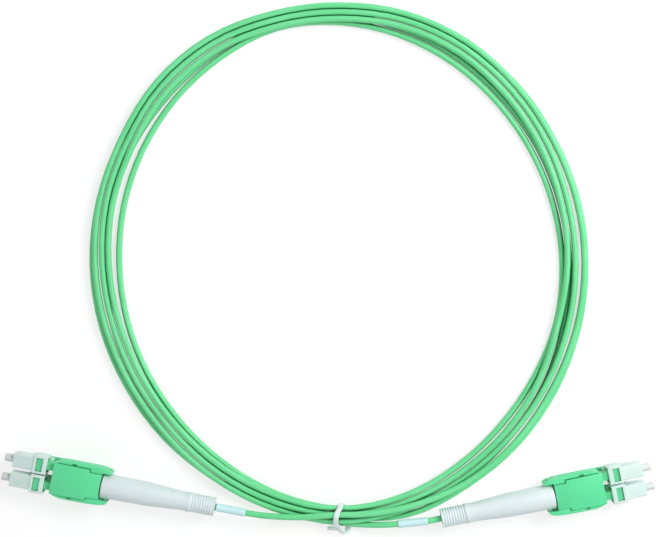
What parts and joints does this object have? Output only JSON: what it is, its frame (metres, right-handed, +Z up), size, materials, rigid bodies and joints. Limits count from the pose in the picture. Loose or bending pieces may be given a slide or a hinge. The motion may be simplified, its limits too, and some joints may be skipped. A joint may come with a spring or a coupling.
{
  "type": "fibre optic patch cord",
  "caption": "Coiled duplex fibre optic patch cord, tied, with a push-pull duplex plug on each end, capped ferrules, spring latches and long strain relief boots.",
  "frame": {"origin": "on the table, under the middle of the box round the two plugs: the middle of the span from the left plug's dust caps to the right plug's", "axes": "+X along the line of the two plugs, towards the right plug's nose, +Y from the plugs towards the middle of the coil, +Z up from the table"},
  "size_m": [0.2085, 0.171, 0.0097],
  "materials": {
    "cable_jacket": "satin green PVC cable jacket",
    "connector_green": "satin moulded green plastic",
    "connector_white": "slightly translucent white moulded plastic",
    "boot": "matt soft plastic",
    "label": "matt pale blue shrink sleeve",
    "tie": "matt white soft plastic",
    "dust_cap": "frosted translucent plastic",
    "ceramic": "polished zirconia ceramic",
    "metal_parts": "turned and nickel plated",
    "fibre_buffer": "tight buffer on glass fibre"
  },
  "bodies": {
    "cord": {"cord_coil": "cable_jacket", "left_lead": "cable_jacket", "right_lead": "cable_jacket", "bundle_tie": "tie", "left_cable_end": "cable_jacket", "left_label_sleeve": "label", "left_crimp_body": "metal_parts", "left_crimp_ring": "metal_parts", "left_housing_top": "connector_green", "left_housing_base": "connector_green", "left_fibre_1": "fibre_buffer", "left_extender_1": "connector_green", "left_spring_1": "metal_parts", "left_front_housing_1": "connector_white", "left_fibre_2": "fibre_buffer", "left_extender_2": "connector_green", "left_spring_2": "metal_parts", "left_front_housing_2": "connector_white", "right_cable_end": "cable_jacket", "right_label_sleeve": "label", "right_crimp_body": "metal_parts", "right_crimp_ring": "metal_parts", "right_housing_top": "connector_green", "right_housing_base": "connector_green", "right_fibre_1": "fibre_buffer", "right_extender_1": "connector_green", "right_spring_1": "metal_parts", "right_front_housing_1": "connector_white", "right_fibre_2": "fibre_buffer", "right_extender_2": "connector_green", "right_spring_2": "metal_parts", "right_front_housing_2": "connector_white"},
    "left_grip": {"left_boot": "boot", "left_trigger_clip": "connector_green"},
    "left_latch_1": {"left_latch_1": "connector_white"},
    "left_ferrule_1": {"left_ferrule_1": "ceramic", "left_flange_1": "metal_parts"},
    "left_dust_cap_1": {"left_dust_cap_1": "dust_cap"},
    "left_latch_2": {"left_latch_2": "connector_white"},
    "left_ferrule_2": {"left_ferrule_2": "ceramic", "left_flange_2": "metal_parts"},
    "left_dust_cap_2": {"left_dust_cap_2": "dust_cap"},
    "right_grip": {"right_boot": "boot", "right_trigger_clip": "connector_green"},
    "right_latch_1": {"right_latch_1": "connector_white"},
    "right_ferrule_1": {"right_ferrule_1": "ceramic", "right_flange_1": "metal_parts"},
    "right_dust_cap_1": {"right_dust_cap_1": "dust_cap"},
    "right_latch_2": {"right_latch_2": "connector_white"},
    "right_ferrule_2": {"right_ferrule_2": "ceramic", "right_flange_2": "metal_parts"},
    "right_dust_cap_2": {"right_dust_cap_2": "dust_cap"}
  },
  "joints": [
    {"name": "left_pull", "type": "slide", "parent": "cord", "child": "left_grip", "axis": [0.9816, -0.1908, 0], "range_m": [0, 0.002], "stiffness_N_per_m": 1500},
    {"name": "left_latch_1_flex", "type": "hinge", "parent": "cord", "child": "left_latch_1", "pos_m": [-0.09981, 0.0037, 0.00295], "axis": [-0.1908, -0.9816, 0], "range_deg": [0, 4]},
    {"name": "left_ferrule_1_float", "type": "slide", "parent": "cord", "child": "left_ferrule_1", "axis": [0.9816, -0.1908, 0], "range_m": [0, 0.0005], "stiffness_N_per_m": 2500, "deforming": ["left_spring_1"]},
    {"name": "left_dust_cap_1_off", "type": "slide", "parent": "cord", "child": "left_dust_cap_1", "axis": [-0.9816, 0.1908, 0], "range_m": [0, 0.008]},
    {"name": "left_latch_2_flex", "type": "hinge", "parent": "cord", "child": "left_latch_2", "pos_m": [-0.09862, 0.00984, 0.00295], "axis": [-0.1908, -0.9816, 0], "range_deg": [0, 4]},
    {"name": "left_ferrule_2_float", "type": "slide", "parent": "cord", "child": "left_ferrule_2", "axis": [0.9816, -0.1908, 0], "range_m": [0, 0.0005], "stiffness_N_per_m": 2500, "deforming": ["left_spring_2"]},
    {"name": "left_dust_cap_2_off", "type": "slide", "parent": "cord", "child": "left_dust_cap_2", "axis": [-0.9816, 0.1908, 0], "range_m": [0, 0.008]},
    {"name": "right_pull", "type": "slide", "parent": "cord", "child": "right_grip", "axis": [-0.9799, -0.1994, 0], "range_m": [0, 0.002], "stiffness_N_per_m": 1500},
    {"name": "right_latch_1_flex", "type": "hinge", "parent": "cord", "child": "right_latch_1", "pos_m": [0.09859, 0.00668, 0.00295], "axis": [-0.1994, 0.9799, 0], "range_deg": [0, 4]},
    {"name": "right_ferrule_1_float", "type": "slide", "parent": "cord", "child": "right_ferrule_1", "axis": [-0.9799, -0.1994, 0], "range_m": [0, 0.0005], "stiffness_N_per_m": 2500, "deforming": ["right_spring_1"]},
    {"name": "right_dust_cap_1_off", "type": "slide", "parent": "cord", "child": "right_dust_cap_1", "axis": [0.9799, 0.1994, 0], "range_m": [0, 0.008]},
    {"name": "right_latch_2_flex", "type": "hinge", "parent": "cord", "child": "right_latch_2", "pos_m": [0.09983, 0.00056, 0.00295], "axis": [-0.1994, 0.9799, 0], "range_deg": [0, 4]},
    {"name": "right_ferrule_2_float", "type": "slide", "parent": "cord", "child": "right_ferrule_2", "axis": [-0.9799, -0.1994, 0], "range_m": [0, 0.0005], "stiffness_N_per_m": 2500, "deforming": ["right_spring_2"]},
    {"name": "right_dust_cap_2_off", "type": "slide", "parent": "cord", "child": "right_dust_cap_2", "axis": [0.9799, 0.1994, 0], "range_m": [0, 0.008]}
  ],
  "couplings": [
    {"joint": "left_latch_1_flex", "follows": "left_pull", "rad_per_m": 34.907},
    {"joint": "left_latch_2_flex", "follows": "left_pull", "rad_per_m": 34.907},
    {"joint": "right_latch_1_flex", "follows": "right_pull", "rad_per_m": 34.907},
    {"joint": "right_latch_2_flex", "follows": "right_pull", "rad_per_m": 34.907}
  ]
}
